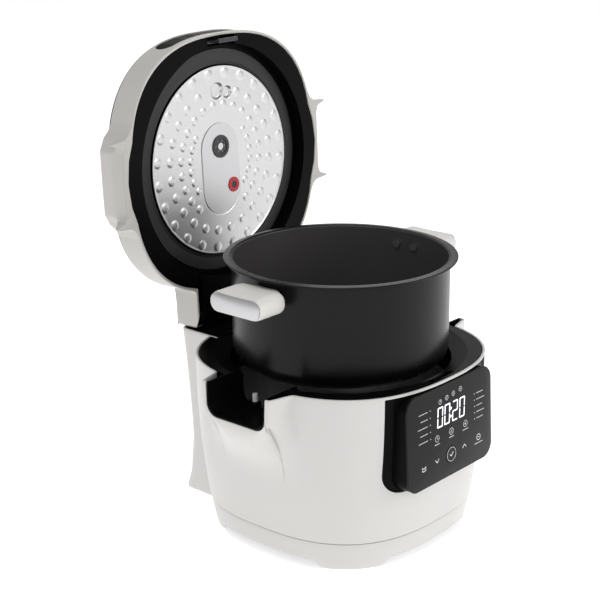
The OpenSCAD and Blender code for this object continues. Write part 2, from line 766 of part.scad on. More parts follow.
module hinge_arms() color(steel) on_lid() difference() {
    for (s = [-1, 1]) translate([s * arm_x, 0, 0]) {
        at_hinge() rod_x(9, -2, 2);
        block(-2, 2, 121, hinge_y, groove_z - 5, groove_z + 4);
    }
    at_hinge() rod_x(shaft_r + run_fit, -60, 60);
    for (s = [-1, 1], y = arm_screws)
        translate([s * arm_x, y, groove_z]) rod_x(screw_r + 0.1, -5, 5);
}

module lid_screws() color(steel) on_lid()
    for (s = [-1, 1], y = arm_screws) translate([s * (arm_x + 2.1), y, groove_z])
        rotate([0, s * 90, 0]) screw(8, 3, 1.8);

// ---- lid: front trim and latch ----

module front_form(inset, z0, z1) {
    translate([0, 0, z0]) linear_extrude(z1 - z0) polygon(outline(lid_half - inset, lid_half - 3.5 - inset));
}

module front_trim() color(black) on_lid() difference() {
    intersection() {
        front_form(1, rim_z, band_z);
        band_cut(gap);
    }
    front_form(3, rim_z - 1, band_z + 1);
    block(-28, 28, -200, -100, rim_z + 11, rim_z + 29);
}

module release_button() color("#0d0d0e") on_lid() {
    difference() {
        intersection() {
            front_form(0.6, rim_z, band_z);
            block(-27.6, 27.6, -200, -100, rim_z + 11.4, rim_z + 28.6);
        }
        front_form(8, rim_z - 1, band_z + 1);
    }
    block(-5, 5, -138, -131, rim_z + 24, rim_z + 28);
}

module button_spring() color(steel) on_lid()
    for (s = [-1, 1]) translate([s * 18, -135.5, rim_z + 20]) rotate([-90, 0, 0]) coil(3, 0.4, 4, 7.7);

module latch_hook() color(steel) on_lid() {
    block(-15, 15, -136.8, -134.6, rim_z - 11, rim_z + 9);
    block(-15, 15, -139.2, -136.6, rim_z - 11, rim_z - 8.6);
    block(-20, 20, -136.8, -133.4, rim_z + 2, rim_z + 6);
}

// ---- pot ----

module pot_profile() {
    r = pot_r;
    c = pot_corner;
    inner = c - pot_wall;
    outer_arc = [for (a = [-90 : 10 : 0]) [r - c + c * cos(a), pot_floor_z + c + c * sin(a)]];
    inner_arc = [for (a = [0 : -10 : -90]) [r - c + inner * cos(a), pot_floor_z + c + inner * sin(a)]];
    polygon(concat([[0, pot_floor_z]], outer_arc,
        [[r, pot_rim_z - 3], [rim_r - 0.6, pot_rim_z - 2.6], [rim_r, pot_rim_z - 1.8],
         [rim_r - 0.6, pot_rim_z - 0.6], [r + 1.5, pot_rim_z], [r - pot_wall, pot_rim_z - 0.6]],
        inner_arc, [[0, pot_floor_z + pot_wall]]));
}

module rivet_places() {
    for (s = [-1, 1], y = [-12, 12]) translate([0, y, handle_top - 9]) scale([1, 1, 1])
        mirror([s < 0 ? 1 : 0, 0, 0]) children();
}

module cooking_pot() color("#1a1a1b") on_pot() difference() {
    rotate_extrude($fn = 128) pot_profile();
    rivet_places() rod_x(2.5 + run_fit, pot_r - 8, pot_r + 4);
}

module handle_form(x0, x1, drop) {
    half = handle_half - drop;
    top = handle_h - drop;
    translate([x0, 0, handle_z]) rotate([90, 0, 90]) linear_extrude(x1 - x0)
        translate([0, (top + drop) / 2]) rounded(2 * half, top - drop, 7);
}

module pot_handle() {
    difference() {
        union() {
            handle_form(126, handle_end - 2, 0);
            block(pot_r - 2, 127, -22, 22, handle_z + 1, handle_top - 1);
        }
        translate([0, 0, handle_z - 1]) cylinder(r = pot_r + gap, h = handle_h + 2, $fn = 128);
        rivet_places() rod_x(2.5 + run_fit, pot_r - 4, pot_r + 8);
        translate([134, -24, handle_z - 1]) cube([25, 48, 12]);
        for (sy = [-1, 1]) translate([-pin_pos[0], sy * pin_pos[1], handle_z - 1])
            cylinder(r = 4.6, h = 9.5);
    }
}

module pot_handle_left() color("#dedcd6") on_pot() mirror([1, 0, 0]) pot_handle();

module pot_handle_right() color("#dedcd6") on_pot() pot_handle();

module handle_cap_left() color(steel) on_pot() mirror([1, 0, 0])
    handle_form(handle_end - 2 + tiny, handle_end, 0.8);

module handle_cap_right() color(steel) on_pot() handle_form(handle_end - 2 + tiny, handle_end, 0.8);

module handle_rivets() color(steel) on_pot() rivet_places() {
    rod_x(2.5, pot_r - 5, pot_r + 7);
    rod_x(4.6, pot_r - 5, pot_r - 3.4);
}

outer_shell();
base_skirt();
base_pan();
foot_pads();
rear_housing();
deck();
latch_plate();
deck_lining();
latch_striker();
well_liner();
liner_ring();
heater_plate();
heating_element();
thermal_fuse();
sensor_bracket();
sensor_spring();
thermal_sensor();
panel_housing();
panel_glass();
ok_button();
key_switch();
display_module();
control_board();
power_board();
power_components();
power_inlet();
base_screws();
pin_switch();
pin_spring();
handle_pin();
condensate_cup();
hinge_bracket();
hinge_shaft();
hinge_clips();
hinge_springs();
hinge_cover();
lid_shell();
lid_cover();
lid_frame();
lid_gasket();
inner_plate();
valve_panel();
valve_ring();
float_seal();
hinge_arms();
lid_screws();
front_trim();
steam_duct();
release_button();
button_spring();
latch_hook();
float_valve();
vent_plunger();
steam_cap();
cooking_pot();
pot_handle_left();
pot_handle_right();
handle_cap_left();
handle_cap_right();
handle_rivets();
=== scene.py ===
# Rice cooker: the finished look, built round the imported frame.
import json
import math

import bmesh
import bpy
import numpy as np
from mathutils import Matrix, Vector


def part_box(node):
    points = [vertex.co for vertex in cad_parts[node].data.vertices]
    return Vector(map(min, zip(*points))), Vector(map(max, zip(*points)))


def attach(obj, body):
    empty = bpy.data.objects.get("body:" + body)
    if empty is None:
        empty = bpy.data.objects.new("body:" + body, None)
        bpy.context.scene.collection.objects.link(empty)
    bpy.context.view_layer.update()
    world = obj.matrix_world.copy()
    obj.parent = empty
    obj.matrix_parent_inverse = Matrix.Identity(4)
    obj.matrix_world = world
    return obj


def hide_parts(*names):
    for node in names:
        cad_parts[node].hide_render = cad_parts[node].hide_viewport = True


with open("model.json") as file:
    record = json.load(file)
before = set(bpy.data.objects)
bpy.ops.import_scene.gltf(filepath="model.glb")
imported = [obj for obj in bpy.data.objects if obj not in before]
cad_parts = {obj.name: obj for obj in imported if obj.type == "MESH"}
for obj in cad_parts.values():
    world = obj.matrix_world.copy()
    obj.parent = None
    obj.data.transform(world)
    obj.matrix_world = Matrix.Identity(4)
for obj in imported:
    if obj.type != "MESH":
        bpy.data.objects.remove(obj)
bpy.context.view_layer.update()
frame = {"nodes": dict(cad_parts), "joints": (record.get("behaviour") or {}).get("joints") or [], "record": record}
joints = {j["name"]: j for j in frame["joints"]}

# Sizes below are in mm about the pot's axis.
potLow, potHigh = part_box("cooking_pot")
potY = (potLow.y + potHigh.y) / 2 * 1000
openAngle = math.radians(joints["lid_hinge"]["range_deg"][1])
hingeY = joints["lid_hinge"]["pos_m"][1] * 1000 - potY
hingeZ = joints["lid_hinge"]["pos_m"][2] * 1000
potLift = -joints["pot_lift"]["range_m"][0] * 1000


# Pieces are placed from points in mm, with the lid closed and the pot seated.
def onBase(points):
    p = np.array(points, float)
    p[..., 1] += potY
    return p / 1000


def onPot(points):
    return onBase(points) + np.array([0, 0, potLift / 1000])


def onLid(points):
    p = np.array(points, float)
    y, z = p[..., 1] - hingeY, p[..., 2] - hingeZ
    c, s = math.cos(-openAngle), math.sin(-openAngle)
    p[..., 1], p[..., 2] = hingeY + y * c - z * s, hingeZ + y * s + z * c
    return onBase(p)


def makeMesh(name, points, faces, place=onBase, smooth=True):
    mesh = bpy.data.meshes.new(name)
    mesh.from_pydata([tuple(v) for v in place(points)], [], faces)
    mesh.validate()
    bm = bmesh.new()
    bm.from_mesh(mesh)
    bmesh.ops.remove_doubles(bm, verts=bm.verts, dist=1e-6)
    bmesh.ops.recalc_face_normals(bm, faces=bm.faces)
    bm.to_mesh(mesh)
    bm.free()
    mesh.polygons.foreach_set("use_smooth", [smooth] * len(mesh.polygons))
    piece = bpy.data.objects.new(name, mesh)
    bpy.context.scene.collection.objects.link(piece)
    return piece


# Rings of equally many points, joined ring to ring; closed joins the last ring to the first.
def makeRings(name, rings, place=onBase, closed=True, caps=False):
    rings = np.array(rings, float)
    rows, count = rings.shape[0], rings.shape[1]
    faces = []
    for k in range(rows if closed else rows - 1):
        for i in range(count):
            a, b = k * count, (k + 1) % rows * count
            j = (i + 1) % count
            faces.append((a + i, a + j, b + j, b + i))
    if caps:
        faces.append(tuple(range(count))[::-1])
        faces.append(tuple((rows - 1) * count + i for i in range(count)))
    return makeMesh(name, rings.reshape(-1, 3), faces, place)


# A path with its corners rounded: points are (x, y, radius).
def rounded(path, steps=5, closed=False):
    out = []
    n = len(path)
    for i, p in enumerate(path):
        here = np.array(p[:2], float)
        r = p[2] if len(p) > 2 else 0
        if r <= 0 or (not closed and i in (0, n - 1)):
            out.append(here)
            continue
        before = np.array(path[i - 1][:2], float) - here
        after = np.array(path[(i + 1) % n][:2], float) - here
        lb, la = np.linalg.norm(before), np.linalg.norm(after)
        ub, ua = before / lb, after / la
        half = math.acos(max(-1, min(1, float(ub @ ua)))) / 2
        cut = min(r / math.tan(half), lb * 0.49, la * 0.49)
        radius = cut * math.tan(half)
        bis = (ub + ua) / np.linalg.norm(ub + ua)
        centre = here + bis * (radius / math.sin(half))
        start, end = here + ub * cut - centre, here + ua * cut - centre
        turn = math.atan2(start[0] * end[1] - start[1] * end[0], start @ end)
        for k in range(steps + 1):
            a = turn * k / steps
            out.append(centre + np.array([start[0] * math.cos(a) - start[1] * math.sin(a),
                                          start[0] * math.sin(a) + start[1] * math.cos(a)]))
    return np.array(out)


# Walks once round a closed outline and puts evenly spaced points on it.
def resample(outline, count):
    line = np.vstack([outline, outline[:1]])
    along = np.r_[0, np.cumsum(np.linalg.norm(np.diff(line, axis=0), axis=1))]
    at = np.linspace(0, along[-1], count, endpoint=False)
    return np.stack([np.interp(at, along, line[:, 0]), np.interp(at, along, line[:, 1])], 1)


# Turns a path of (radius, height) round an upright axis at x, y.
def makeLathe(name, path, place=onBase, centre=(0, 0), turns=160, closed=True):
    angles = np.linspace(0, 2 * math.pi, turns, endpoint=False)
    rings = [[(centre[0] + r * math.cos(a), centre[1] + r * math.sin(a), z) for a in angles]
             for r, z in path]
    return makeRings(name, rings, place, closed=closed)


def superPlan(a, b, n, angles):
    c, s = np.cos(angles), np.sin(angles)
    return np.stack([a * np.sign(c) * np.abs(c) ** (2 / n),
                     b * np.sign(s) * np.abs(s) ** (2 / n)], 1)


def planNormals(outline):
    d = np.roll(outline, -1, 0) - np.roll(outline, 1, 0)
    n = np.stack([d[:, 1], -d[:, 0]], 1)
    return n / np.linalg.norm(n, axis=1)[:, None]


def smooth01(x):
    x = np.clip(x, 0, 1)
    return x * x * (3 - 2 * x)


# Flat outline with thickness along z and rounded edges, for plates and buttons.
def makeSlab(name, outline, z0, z1, edge, place=onBase, steps=3):
    outline = np.array(outline, float)
    normals = planNormals(outline)
    if sum(outline[:, 0] * np.roll(outline[:, 1], -1) - np.roll(outline[:, 0], -1) * outline[:, 1]) < 0:
        normals = -normals
    rows = []
    for k in range(steps + 1):
        a = math.pi / 2 * k / steps
        rows.append((edge * (1 - math.sin(a)), z0 + edge * (1 - math.cos(a))))
    rows += [(i, z0 + z1 - z) for i, z in reversed(rows)]
    rings = [np.c_[outline - normals * i, np.full(len(outline), z)] for i, z in rows]
    return makeRings(name, rings, place, closed=False, caps=True)


def roundRect(w, h, r, steps=8):
    x, y = w / 2, h / 2
    return rounded([(-x, -y, r), (x, -y, r), (x, y, r), (-x, y, r)], steps, closed=True)


def finishPiece(piece, material, body, slotName, *nodes):
    piece.data.materials.clear()
    piece.data.materials.append(material)
    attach(piece, body)
    if nodes:
        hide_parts(*nodes)
    return piece


def autoSmooth(piece, angle=40):
    piece.data.set_sharp_from_angle(angle=math.radians(angle))
    return piece


def cutWith(piece, cutter):
    m = piece.modifiers.new("cut", "BOOLEAN")
    m.operation = "DIFFERENCE"
    m.solver = "EXACT"
    m.object = cutter
    bpy.context.view_layer.update()
    graph = bpy.context.evaluated_depsgraph_get()
    mesh = bpy.data.meshes.new_from_object(piece.evaluated_get(graph))
    piece.modifiers.clear()
    old = piece.data
    piece.data = mesh
    mesh.name = piece.name
    bpy.data.meshes.remove(old)
    bpy.data.objects.remove(cutter)
    return piece


def nodeMaker(name):
    mat = bpy.data.materials.new(name)
    mat.use_nodes = True
    tree = mat.node_tree
    shader = tree.nodes["Principled BSDF"]

    def add(kind, **values):
        node = tree.nodes.new(kind)
        for key, value in values.items():
            if key in node.inputs:
                node.inputs[key].default_value = value
            else:
                setattr(node, key, value)
        return node
    return mat, shader, add, tree.links.new


# Two near colours mixed by soft noise, a roughness that wanders and a fine bump.
def madePlastic(name, light, dark, rough, grain=0.06, grainScale=900, coat=0.0, coatRough=0.1,
                patch=14, roughRange=0.06, specular=0.5):
    mat, shader, add, link = nodeMaker(name)
    place = add("ShaderNodeTexCoord").outputs["Object"]
    cloud = add("ShaderNodeTexNoise", Scale=patch, Detail=4.0)
    link(place, cloud.inputs["Vector"])
    mix = add("ShaderNodeMix", data_type="RGBA")
    mix.inputs[6].default_value, mix.inputs[7].default_value = (*light, 1), (*dark, 1)
    link(cloud.outputs["Fac"], mix.inputs[0])
    link(mix.outputs[2], shader.inputs["Base Color"])
    span = add("ShaderNodeMapRange")
    span.inputs["To Min"].default_value = rough - roughRange
    span.inputs["To Max"].default_value = rough + roughRange
    link(cloud.outputs["Fac"], span.inputs["Value"])
    link(span.outputs["Result"], shader.inputs["Roughness"])
    fine = add("ShaderNodeTexNoise", Scale=grainScale, Detail=3.0)
    link(place, fine.inputs["Vector"])
    bump = add("ShaderNodeBump", Strength=grain, Distance=0.0004)
    link(fine.outputs["Fac"], bump.inputs["Height"])
    link(bump.outputs["Normal"], shader.inputs["Normal"])
    shader.inputs["Coat Weight"].default_value = coat
    shader.inputs["Coat Roughness"].default_value = coatRough
    shader.inputs["Specular IOR Level"].default_value = specular
    return mat


# Brushed or blasted metal: streaks along one axis, given by the stretch of the noise.
def madeMetal(name, light, dark, rough, stretch=(1, 1, 1), scale=60, bumpAmount=0.05):
    mat, shader, add, link = nodeMaker(name)
    place = add("ShaderNodeTexCoord").outputs["Object"]
    warp = add("ShaderNodeMapping")
    warp.inputs["Scale"].default_value = stretch
    link(place, warp.inputs["Vector"])
    streak = add("ShaderNodeTexNoise", Scale=scale, Detail=6.0, Roughness=0.65)
    link(warp.outputs["Vector"], streak.inputs["Vector"])
    mix = add("ShaderNodeMix", data_type="RGBA")
    mix.inputs[6].default_value, mix.inputs[7].default_value = (*light, 1), (*dark, 1)
    link(streak.outputs["Fac"], mix.inputs[0])
    link(mix.outputs[2], shader.inputs["Base Color"])
    span = add("ShaderNodeMapRange")
    span.inputs["To Min"].default_value = rough - 0.05
    span.inputs["To Max"].default_value = rough + 0.07
    link(streak.outputs["Fac"], span.inputs["Value"])
    link(span.outputs["Result"], shader.inputs["Roughness"])
    bump = add("ShaderNodeBump", Strength=bumpAmount, Distance=0.0003)
    link(streak.outputs["Fac"], bump.inputs["Height"])
    link(bump.outputs["Normal"], shader.inputs["Normal"])
    shader.inputs["Metallic"].default_value = 1.0
    return mat


# Non-stick coating: near black with faint mineral specks under a soft gloss.
def potCoating(name, base, speck, rough, specular):
    mat, shader, add, link = nodeMaker(name)
    shader.inputs["Specular IOR Level"].default_value = specular
    place = add("ShaderNodeTexCoord").outputs["Object"]
    cells = add("ShaderNodeTexVoronoi", Scale=420.0)
    link(place, cells.inputs["Vector"])
    ramp = add("ShaderNodeValToRGB")
    ramp.color_ramp.elements[0].color = (*speck, 1)
    ramp.color_ramp.elements[1].color = (*base, 1)
    ramp.color_ramp.elements[0].position = 0.05
    ramp.color_ramp.elements[1].position = 0.12
    link(cells.outputs["Distance"], ramp.inputs["Fac"])
    link(ramp.outputs["Color"], shader.inputs["Base Color"])
    cloud = add("ShaderNodeTexNoise", Scale=30.0, Detail=5.0)
    link(place, cloud.inputs["Vector"])
    span = add("ShaderNodeMapRange")
    span.inputs["To Min"].default_value = rough - 0.03
    span.inputs["To Max"].default_value = rough + 0.05
    link(cloud.outputs["Fac"], span.inputs["Value"])
    link(span.outputs["Result"], shader.inputs["Roughness"])
    fine = add("ShaderNodeTexNoise", Scale=1400.0, Detail=2.0)
    link(place, fine.inputs["Vector"])
    bump = add("ShaderNodeBump", Strength=0.08, Distance=0.0003)
    link(fine.outputs["Fac"], bump.inputs["Height"])
    link(bump.outputs["Normal"], shader.inputs["Normal"])
    return mat


def litPrint(name, colour, strength):
    mat, shader, add, link = nodeMaker(name)
    place = add("ShaderNodeTexCoord").outputs["Object"]
    cloud = add("ShaderNodeTexNoise", Scale=300.0)
    link(place, cloud.inputs["Vector"])
    mix = add("ShaderNodeMix", data_type="RGBA")
    mix.inputs[6].default_value = (*colour, 1)
    mix.inputs[7].default_value = (*[c * 0.9 for c in colour], 1)
    link(cloud.outputs["Fac"], mix.inputs[0])
    link(mix.outputs[2], shader.inputs["Base Color"])
    link(mix.outputs[2], shader.inputs["Emission Color"])
    shader.inputs["Emission Strength"].default_value = strength
    shader.inputs["Roughness"].default_value = 0.5
    return mat


whitePlastic = madePlastic("whitePlastic", (0.69, 0.678, 0.66), (0.665, 0.653, 0.636), 0.36, 0.05, 1200,
                           coat=0.15, coatRough=0.25)
# The body's white plastic painted darker for the lid: painted shade standing in for the dimmer light on the lid's
# band.
lidWhitePaintedShade = madePlastic("lidWhitePaintedShade", (0.56, 0.544, 0.515), (0.535, 0.518, 0.49), 0.38, 0.05, 1200,
                       coat=0.1, coatRough=0.3)
handleWhite = madePlastic("handleWhite", (0.76, 0.745, 0.71), (0.73, 0.71, 0.675), 0.42, 0.08, 900)
blackGloss = madePlastic("blackGloss", (0.003, 0.003, 0.003), (0.005, 0.005, 0.005), 0.22, 0.03, 1500,
                         specular=0.08)
blackSatin = madePlastic("blackSatin", (0.002, 0.002, 0.002), (0.004, 0.004, 0.004), 0.34, 0.08, 1100,
                         specular=0.05)
glassDark = madePlastic("glassDark", (0.012, 0.012, 0.013), (0.008, 0.008, 0.009), 0.22, 0.01, 600,
                        specular=0.16)
siliconeBlack = madePlastic("siliconeBlack", (0.008, 0.008, 0.008), (0.012, 0.012, 0.012), 0.5, 0.1, 700)
siliconeRed = madePlastic("siliconeRed", (0.62, 0.012, 0.028), (0.50, 0.008, 0.02), 0.38, 0.1, 900)
rubberGrey = madePlastic("rubberGrey", (0.05, 0.05, 0.05), (0.035, 0.035, 0.035), 0.75, 0.3, 500)
greyPlastic = madePlastic("greyPlastic", (0.22, 0.22, 0.225), (0.17, 0.17, 0.175), 0.55, 0.2, 600)
darkPlastic = madePlastic("darkPlastic", (0.028, 0.028, 0.03), (0.02, 0.02, 0.022), 0.42, 0.1, 900)
boardGreen = madePlastic("boardGreen", (0.012, 0.12, 0.06), (0.01, 0.09, 0.045), 0.35, 0.25, 260)
ceramic = madePlastic("ceramic", (0.7, 0.67, 0.6), (0.62, 0.6, 0.54), 0.6, 0.2, 500)
plateMetal = madeMetal("plateMetal", (0.66, 0.66, 0.665), (0.58, 0.58, 0.585), 0.33, scale=500,
                       bumpAmount=0.06)
satinMetal = madeMetal("satinMetal", (0.62, 0.62, 0.63), (0.52, 0.52, 0.53), 0.34, (1, 8, 8), 220)
springMetal = madeMetal("springMetal", (0.46, 0.46, 0.48), (0.36, 0.36, 0.38), 0.3, (6, 6, 1), 300)
castMetal = madeMetal("castMetal", (0.58, 0.58, 0.60), (0.46, 0.46, 0.48), 0.5, scale=240, bumpAmount=0.2)
coating = potCoating("coating", (0.0035, 0.0035, 0.004), (0.01, 0.01, 0.011), 0.27, 0.2)
# The pot's coating made lighter for the inside: a painted reflection of the lit inner wall. The higher roughness
# is real.
coatingInsidePaintedReflection = potCoating("coatingInsidePaintedReflection", (0.062, 0.058, 0.06), (0.10, 0.096, 0.098), 0.36, 0.35)
whitePrint = litPrint("whitePrint", (0.95, 0.97, 1.0), 0.9)
signPrint = litPrint("signPrint", (0.7, 0.72, 0.75), 0.4)
greyPrint = litPrint("greyPrint", (0.45, 0.46, 0.48), 0.25)
print("materials ready")

slotMaterials = {
    "white_plastic": whitePlastic, "black_plastic": blackSatin, "grey_plastic": greyPlastic,
    "rubber": rubberGrey, "silicone": siliconeBlack, "red_silicone": siliconeRed,
    "satin_steel": satinMetal, "spring_steel": springMetal, "aluminium": castMetal,
    "pot_coating": coating, "handle_plastic": handleWhite, "panel_glass": glassDark,
    "board": boardGreen, "ceramic": ceramic, "dark_plastic": darkPlastic}
for part in frame["record"]["subparts"]:
    node = frame["nodes"][part["node"]]
    node.data.materials.clear()
    node.data.materials.append(slotMaterials[part["material_slot"]])
    node.data.polygons.foreach_set("use_smooth", [True] * len(node.data.polygons))
    autoSmooth(node, 30)
print("frame nodes finished")


pot = {"radius": 118.4, "wall": 1.8, "corner": 20, "floor": 87, "rim": 205, "rimRadius": 127}


def makePot(p):
    r, w, c = p["radius"], p["wall"], p["corner"]
    top = p["rim"]
    path = rounded([(0, p["floor"]), (r, p["floor"], c), (r, top - 3.4, 1.2),
                    (p["rimRadius"] - 0.2, top - 2.9, 0.9), (p["rimRadius"], top - 0.9, 1.0),
                    (r + 1.6, top, 2.5), (r - w, top - 1.4, 1.4), (r - w, p["floor"] + w, c - w),
                    (0, p["floor"] + w)], steps=10)
    return makeLathe("cookingPot", path, onPot, turns=220, closed=False)


cookingPot = finishPiece(makePot(pot), coating, "pot", "pot_coating", "cooking_pot")
cookingPot.data.materials.append(coatingInsidePaintedReflection)
for face in cookingPot.data.polygons:                     # the inside is painted lighter and warmer, a painted reflection of the lit inner wall, and is duller
    c = Vector((face.center.x, face.center.y - potY / 1000, 0))
    inward = c.dot(face.normal) < 0 or c.length < 0.1 and face.normal.z > 0.5
    face.material_index = int(inward and c.length < 0.1172)

handle = {"start": 119.4, "end": 165.4, "halfWidth": 34.5, "low": 174.5, "top": 197,
          "saddle": 1.2, "corner": 10.5, "capStart": 166.0, "capEnd": 167.6}


# One upright section of the handle; the top dips a little in the middle.
def handleSection(x, half, low, top, corner, saddle):
    path = [(-half, low, corner * 0.9), (half, low, corner * 0.9), (half, top, corner), (-half, top, corner)]
    ring = resample(rounded(path, 6, closed=True), 96)
    lift = smooth01((ring[:, 1] - (low + top) / 2) / (top - low) * 2)
    ring[:, 1] -= saddle * lift * (1 - (ring[:, 0] / half) ** 2)
    return [(x, y, z) for y, z in ring]


def makeHandle(name, side, h):
    mid = (h["low"] + h["top"]) / 2
    rings = []
    stations = [(h["start"], 0.62, 0.84), (122, 0.64, 0.86), (125, 0.80, 0.94), (128, 0.95, 0.99),
                (132, 1, 1), (140, 1, 1), (152, 1, 1), (161, 1, 1),
                (164.4, 0.995, 0.985), (h["end"], 0.975, 0.94)]
    for x, wide, tall in stations:
        half = h["halfWidth"] * wide
        low, top = mid + (h["low"] - mid) * tall, mid + (h["top"] - mid) * tall
        rings.append(handleSection(x, half, low, top, h["corner"], h["saddle"]))
    piece = makeRings(name, np.array(rings) * [side, 1, 1], onPot, closed=False, caps=True)
    hollow = makeSlab("hollow", roundRect(26, 48, 4) + [146.5, 0], h["low"] - 2, h["low"] + 11, 0.5,
                      lambda p: onPot(np.array(p) * [side, 1, 1]))
    piece = cutWith(piece, hollow)
    for y in (-10.9, 10.9):
        angles = np.linspace(0, 2 * math.pi, 32, endpoint=False)
        ring = np.c_[127.6 + 4.6 * np.cos(angles), y + 4.6 * np.sin(angles)]
        piece = cutWith(piece, makeSlab("socket", ring, h["low"] - 2, h["low"] + 8, 0.3,
                                        lambda p: onPot(np.array(p) * [side, 1, 1])))
    return autoSmooth(piece, 35)


def makeHandleCap(name, side, h):
    rings = []
    for x, small in ((h["capStart"] - 0.6, 1.4), (h["capStart"], 0.9),
                     (h["capEnd"] - 0.5, 0.9), (h["capEnd"], 1.6)):
        rings.append(handleSection(x, h["halfWidth"] - small, h["low"] + small, h["top"] - small,
                                   h["corner"], h["saddle"]))
    return autoSmooth(makeRings(name, np.array(rings) * [side, 1, 1], onPot, closed=False, caps=True), 50)


for side, word in ((-1, "left"), (1, "right")):
    finishPiece(makeHandle(word + "Handle", side, handle), handleWhite, "pot", "handle_plastic",
                "pot_handle_" + word)
    finishPiece(makeHandleCap(word + "HandleCap", side, handle), satinMetal, "pot", "satin_steel",
                "handle_cap_" + word)
print("pot and handles made")


body = {"half": 147, "taper": 17, "height": 199, "square": 2.6, "wall": 3, "seam": 33, "points": 900,
        "lipReach": 170, "lipHalf": 46, "lipFade": 56, "flareFrom": 98, "notchHalf": 41, "notchFloor": 162,
        "notchCorner": 14, "recessHalf": 88, "recessLow": 88, "recessTop": 196.5, "recessCorner": 25,
        "archHalf": 76, "archHeight": 8.5, "neckHalf": 61, "neckDrop": 13}


def halfAt(z):
    return body["half"] - body["taper"] * (1 - np.minimum(z, body["height"]) / body["height"]) ** 2.3


# How far the side is drawn out towards the handle's notch at that height.
def flareAt(x, y, z):
    grow = smooth01((z - body["flareFrom"]) / (body["notchFloor"] - 4 - body["flareFrom"])) ** 1.25
    near = smooth01((z - 142) / 34)
    start = 10 + (body["lipHalf"] - 10) * near
    width = 60 + (body["lipFade"] - body["lipHalf"] - 60) * near
    return (body["lipReach"] - np.abs(x)) * grow * (1 - smooth01((np.abs(y) - start) / width))


def bodyRing(inset, z, angles):
    a = halfAt(z)
    c, s = np.cos(angles), np.sin(angles)
    n = 2 / body["square"]
    x, y = a * np.sign(c) * np.abs(c) ** n, a * np.sign(s) * np.abs(s) ** n
    x = x + np.sign(x) * np.where(np.abs(x) > 60, flareAt(x, y, z), 0)
    ring = np.stack([x, y], 1)
    return ring - planNormals(ring) * inset


def shellTop(x, y):
    top = np.full(len(x), float(body["height"]))
    arc = body["notchCorner"]
    start = body["notchHalf"] - arc
    past = np.clip(np.abs(y) - start, 0, arc)
    corner = body["notchFloor"] + arc - np.sqrt(np.maximum(arc ** 2 - past ** 2, 0))
    notch = (np.abs(y) < body["notchHalf"]) & (np.abs(x) > 100)
    top[notch] = corner[notch]
    top[(y > 100) & (np.abs(x) < body["neckHalf"])] = body["height"] - body["neckDrop"]
    return top


def makeShell(b):
    angles = np.linspace(0, 2 * math.pi, b["points"], endpoint=False)
    base = bodyRing(0, b["height"], angles)
    top = shellTop(base[:, 0], base[:, 1])
    side = (0.004, 0.1, 0.2, 0.3, 0.4, 0.5, 0.58, 0.66, 0.72, 0.78, 0.84, 0.9, 0.95, 0.992)
    rows = [(0.8, 0.0)] + [(0.0, t) for t in side]
    rows += [(0.25, 0.9975), (0.9, 1.0), (b["wall"] - 0.9, 1.0), (b["wall"] - 0.2, 0.9975), (b["wall"], 0.99),
             (b["wall"], 0.8), (b["wall"], 0.6), (b["wall"], 0.3), (b["wall"], 0.0)]
    rings = []
    for inset, t in rows:
        z = b["seam"] + (top - b["seam"]) * t
        rings.append(np.c_[bodyRing(inset, z, angles), z])
    piece = makeRings("bodyShell", rings)
    half = b["recessHalf"]
    hole = rounded([(-half, b["recessLow"], b["recessCorner"]), (half, b["recessLow"], b["recessCorner"]),
                    (half, b["recessTop"], 1.5), (-half, b["recessTop"], 1.5)], 8, closed=True)
    cutter = makeSlab("hole", hole, 100, 190, 0.5, lambda p: onBase(np.array(p)[..., [0, 2, 1]] * [1, -1, 1]))
    return autoSmooth(cutWith(piece, cutter), 40)


finishPiece(makeShell(body), whitePlastic, "base", "white_plastic", "outer_shell")


def archAt(v):
    return body["archHeight"] * smooth01((body["archHalf"] - np.abs(v)) / 13)


def makeSkirt(b):
    angles = np.linspace(0, 2 * math.pi, b["points"], endpoint=False)
    foot = bodyRing(0, 0.0, angles)
    front = np.abs(foot[:, 1]) > np.abs(foot[:, 0])
    low = 0.4 + np.where(front, archAt(foot[:, 0]), archAt(foot[:, 1]))
    rows = [(1.6, 0.0), (0.9, 0.03), (0.6, 0.09), (0.6, 0.35), (0.6, 0.65), (0.6, 0.93), (1.2, 1.0),
            (3.2, 1.0), (3.6, 0.6), (3.6, 0.1), (3.0, 0.0)]
    rings = []
    for inset, t in rows:
        z = low + (b["seam"] - 1.0 - low) * t
        rings.append(np.c_[bodyRing(inset, z, angles), z])
    return autoSmooth(makeRings("bodySkirt", rings), 50)


finishPiece(makeSkirt(body), whitePlastic, "base", "white_plastic", "base_skirt")

column = {"half": 64, "top": 199, "corner": 11, "wall": 3, "waist": 176, "lean": 12, "flare": 13,
          "cupHalf": 24.3, "cupLow": 104.7, "cupTop": 165.3}


def backAt(z):
    if z < 60:
        return column["waist"] + column["flare"] * (1 - z / 60) ** 2
    return column["waist"] + column["lean"] * ((z - 60) / 139) ** 1.5


def columnRing(z, inset, tip=0.0):
    h, back = column["half"] - inset, backAt(z) - inset - tip
    path = [(-h, 128), (h, 128), (h, back, column["corner"] - inset), (-h, back, column["corner"] - inset)]
    ring = resample(rounded(path, 8, closed=True), 240)
    return np.c_[ring, np.full(len(ring), float(z))]


